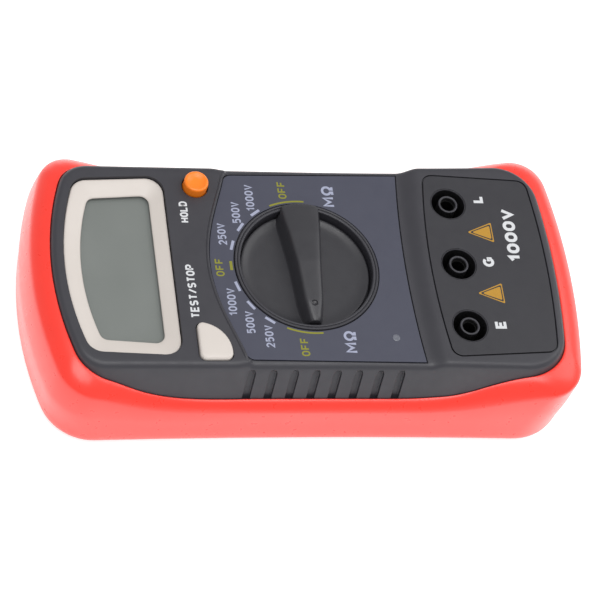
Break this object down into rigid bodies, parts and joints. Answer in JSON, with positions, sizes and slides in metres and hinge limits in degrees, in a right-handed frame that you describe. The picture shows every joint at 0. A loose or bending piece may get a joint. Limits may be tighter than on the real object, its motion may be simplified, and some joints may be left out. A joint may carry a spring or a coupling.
{
  "type": "insulation resistance tester",
  "caption": "Handheld insulation resistance tester with a display, rotary selector, test and hold keys and shrouded jacks, in a soft holster with a tilt stand.",
  "frame": {"origin": "on the table under the selector's axis, at the middle of the holster's outline", "axes": "+Y up the face from the jacks to the display, +Z out of the face, +X to the reader's right"},
  "size_m": [0.0826, 0.1614, 0.0345],
  "materials": {
    "red_rubber": "glossy soft red moulding",
    "case_plastic": "fine satin grain",
    "knob_plastic": "satin black",
    "jack_plastic": "satin black",
    "label_film": "blue-grey printed film",
    "panel_film": "dark grey printed film",
    "cream_plastic": "satin cream",
    "orange_plastic": "orange",
    "white_plastic": "natural white",
    "blue_plastic": "blue",
    "clear_window": "clear acrylic",
    "lcd_glass": "grey-green liquid-crystal cell",
    "pink_rubber": "layered conductive rubber",
    "green_laminate": "solder-masked laminate",
    "bright_steel": "plated",
    "spring_brass": "plated brass",
    "battery_sleeve": "plain sleeve",
    "red_wire": "insulated wire",
    "ferrite": "ferrite",
    "dark_nickel": "dull nickel plate",
    "yellow_tape": "polyester tape",
    "capacitor_sleeve": "plastic sleeve",
    "chip_resin": "moulded resin",
    "lamp_resin": "milky resin"
  },
  "bodies": {
    "meter": {"holster": "red_rubber", "front_case": "case_plastic", "rear_case": "case_plastic", "battery_door": "case_plastic", "face_label": "label_film", "jack_panel": "panel_film", "display_bezel": "cream_plastic", "display_window": "clear_window", "lcd_panel": "lcd_glass", "lcd_frame": "white_plastic", "zebra_strips": "pink_rubber", "main_board": "green_laminate", "hold_switch": "bright_steel", "test_switch": "bright_steel", "jack_straps": "bright_steel", "case_screws": "bright_steel", "board_screws": "bright_steel", "door_screw": "bright_steel", "battery": "battery_sleeve", "battery_snap": "knob_plastic", "battery_leads": "red_wire", "transformer_core": "ferrite", "transformer_winding": "yellow_tape", "high_voltage_capacitors": "capacitor_sleeve", "measuring_chip": "chip_resin", "control_chip": "chip_resin", "buzzer": "knob_plastic", "trimmers": "blue_plastic", "input_resistors": "blue_plastic", "lamp_lens": "lamp_resin", "lamp_diode": "lamp_resin", "stand_pin": "bright_steel", "line_jack_bush": "jack_plastic", "guard_jack_bush": "jack_plastic", "earth_jack_bush": "jack_plastic", "line_jack_socket": "dark_nickel", "guard_jack_socket": "dark_nickel", "earth_jack_socket": "dark_nickel"},
    "selector": {"selector_knob": "knob_plastic", "switch_rotor": "white_plastic", "detent_balls": "bright_steel", "detent_springs": "bright_steel", "wiper_contacts": "spring_brass"},
    "hold_button": {"hold_key": "orange_plastic", "hold_plunger": "knob_plastic"},
    "test_button": {"test_key": "cream_plastic", "test_plunger": "knob_plastic"},
    "stand": {"tilt_stand": "knob_plastic"}
  },
  "joints": [
    {"name": "selector_turn", "type": "hinge", "parent": "meter", "child": "selector", "pos_m": [0, 0, 0.028], "axis": [0, 0, 1], "range_deg": [-180, 0]},
    {"name": "hold_press", "type": "slide", "parent": "meter", "child": "hold_button", "axis": [0, 0, -1], "range_m": [0, 0.0009], "stiffness_N_per_m": 1200, "springref_m": -0.0005},
    {"name": "test_press", "type": "slide", "parent": "meter", "child": "test_button", "axis": [0, 0, -1], "range_m": [0, 0.0009], "stiffness_N_per_m": 1200, "springref_m": -0.0005},
    {"name": "stand_swing", "type": "hinge", "parent": "meter", "child": "stand", "pos_m": [0, 0.03, 0.00165], "axis": [1, 0, 0], "range_deg": [0, 60]}
  ]
}
